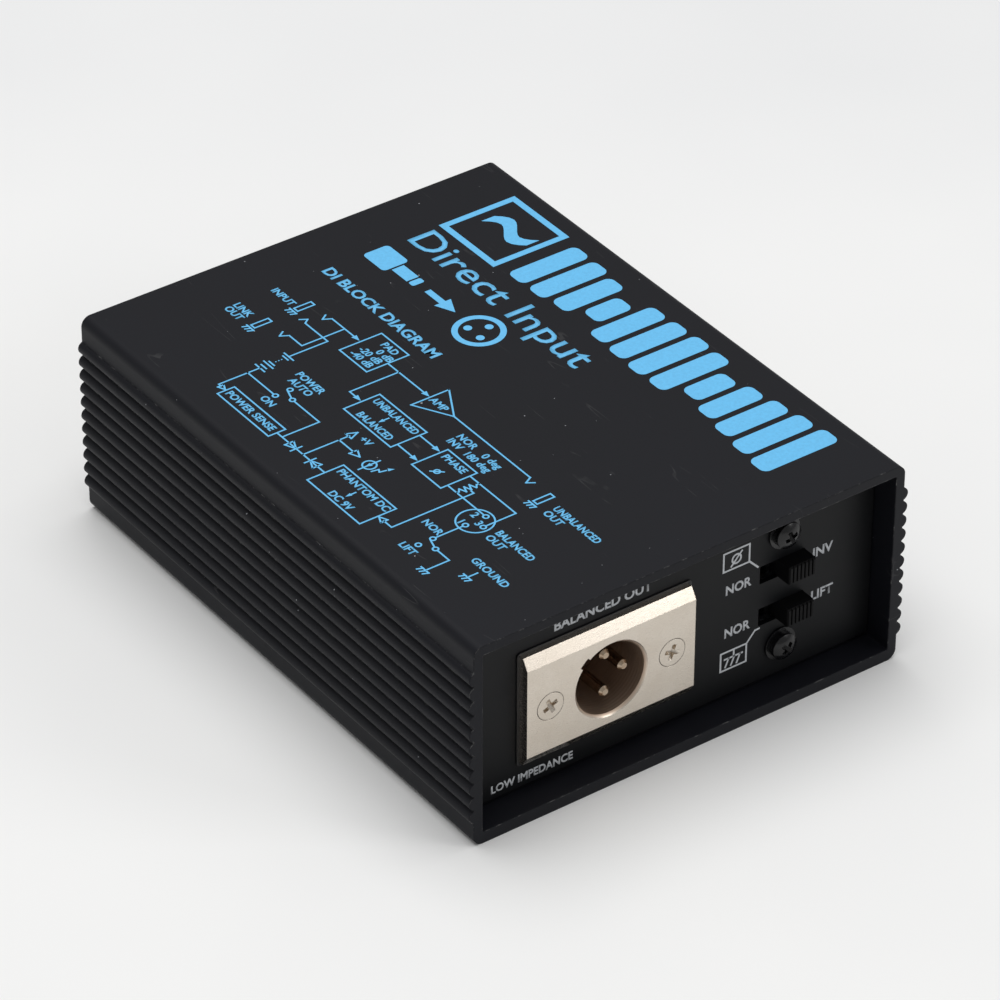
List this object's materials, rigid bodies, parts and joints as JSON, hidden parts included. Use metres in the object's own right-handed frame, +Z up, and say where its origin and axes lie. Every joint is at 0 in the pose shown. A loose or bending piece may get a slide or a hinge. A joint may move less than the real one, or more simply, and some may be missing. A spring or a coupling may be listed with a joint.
{
  "type": "direct injection box",
  "caption": "Black ribbed-aluminium direct injection box: recessed end panels with a male three-pin connector, phone jacks, slide switches and a hinged battery door underneath.",
  "frame": {"origin": "middle of the sleeve's underside, on the surface that it stands on", "axes": "+X to the right facing the output panel, +Y from the output panel to the input panel, +Z up"},
  "size_m": [0.105, 0.136, 0.047],
  "materials": {
    "black_anodised": "fine matt black",
    "black_painted_steel": "matt black paint",
    "black_steel": "black satin plating",
    "steel": "zinc plated",
    "nickel": "satin nickel",
    "plated_contact": "plated",
    "brown_insert": "dark brown phenolic",
    "black_plastic": "fine texture",
    "red_lens": "clear red",
    "green_board": "solder mask",
    "blue_sleeve": "shrink sleeve",
    "yellow_film": "dipped film",
    "tan_resistor": "lacquer",
    "ferrite": "ferrite",
    "battery_case": "printed metal jacket",
    "black_vinyl": "soft",
    "red_vinyl": "soft",
    "grey_vinyl": "soft",
    "foam": "open cell foam"
  },
  "bodies": {
    "housing": {"amplifier_chips": "black_plastic", "attenuator_switch_base": "brown_insert", "attenuator_switch_can": "steel", "battery": "battery_case", "battery_box": "black_plastic", "battery_lead_black": "black_vinyl", "battery_lead_red": "red_vinyl", "battery_pad": "foam", "battery_snap": "black_vinyl", "board_screws": "steel", "board_standoffs": "steel", "bracket_screws": "black_steel", "bracket_washers": "black_steel", "case_inserts": "steel", "case_screws": "black_steel", "chassis": "black_painted_steel", "chip_legs": "plated_contact", "converter_coil": "ferrite", "electrolytic_capacitors": "blue_sleeve", "film_capacitors": "yellow_film", "ground_switch_base": "brown_insert", "ground_switch_can": "steel", "input_jack": "black_plastic", "input_switch_bracket": "steel", "jack_bushings": "nickel", "jack_nuts": "nickel", "jack_springs": "plated_contact", "jack_terminals": "plated_contact", "jack_washers": "nickel", "lamp": "red_lens", "lamp_holder": "black_plastic", "main_board": "green_board", "output_leads": "grey_vinyl", "output_switch_bracket": "steel", "parallel_jack": "black_plastic", "phase_switch_base": "brown_insert", "phase_switch_can": "steel", "power_switch_base": "brown_insert", "power_switch_can": "steel", "resistors": "tan_resistor", "sleeve": "black_anodised", "switch_terminals": "plated_contact", "transistors": "black_plastic", "unbalanced_jack": "black_plastic", "xlr_insert": "brown_insert", "xlr_nuts": "steel", "xlr_pin_1": "plated_contact", "xlr_pin_2": "plated_contact", "xlr_pin_3": "plated_contact", "xlr_screws": "nickel", "xlr_shell": "nickel"},
    "phase_knob": {"phase_switch_slider": "black_plastic", "phase_switch_contact": "plated_contact"},
    "ground_knob": {"ground_switch_slider": "black_plastic", "ground_switch_contact": "plated_contact"},
    "attenuator_knob": {"attenuator_switch_slider": "black_plastic", "attenuator_switch_contact": "plated_contact"},
    "power_knob": {"power_switch_slider": "black_plastic", "power_switch_contact": "plated_contact"},
    "door": {"battery_door": "black_plastic"}
  },
  "joints": [
    {"name": "phase_slide", "type": "slide", "parent": "housing", "child": "phase_knob", "axis": [-1, 0, 0], "range_m": [0, 0.0043]},
    {"name": "ground_slide", "type": "slide", "parent": "housing", "child": "ground_knob", "axis": [-1, 0, 0], "range_m": [0, 0.0043]},
    {"name": "attenuator_slide", "type": "slide", "parent": "housing", "child": "attenuator_knob", "axis": [1, 0, 0], "range_m": [0, 0.0083]},
    {"name": "power_slide", "type": "slide", "parent": "housing", "child": "power_knob", "axis": [1, 0, 0], "range_m": [0, 0.0043]},
    {"name": "battery_door_hinge", "type": "hinge", "parent": "housing", "child": "door", "pos_m": [-0.04265, -0.01465, 0.0019], "axis": [0, 1, 0], "range_deg": [0, 95]}
  ]
}
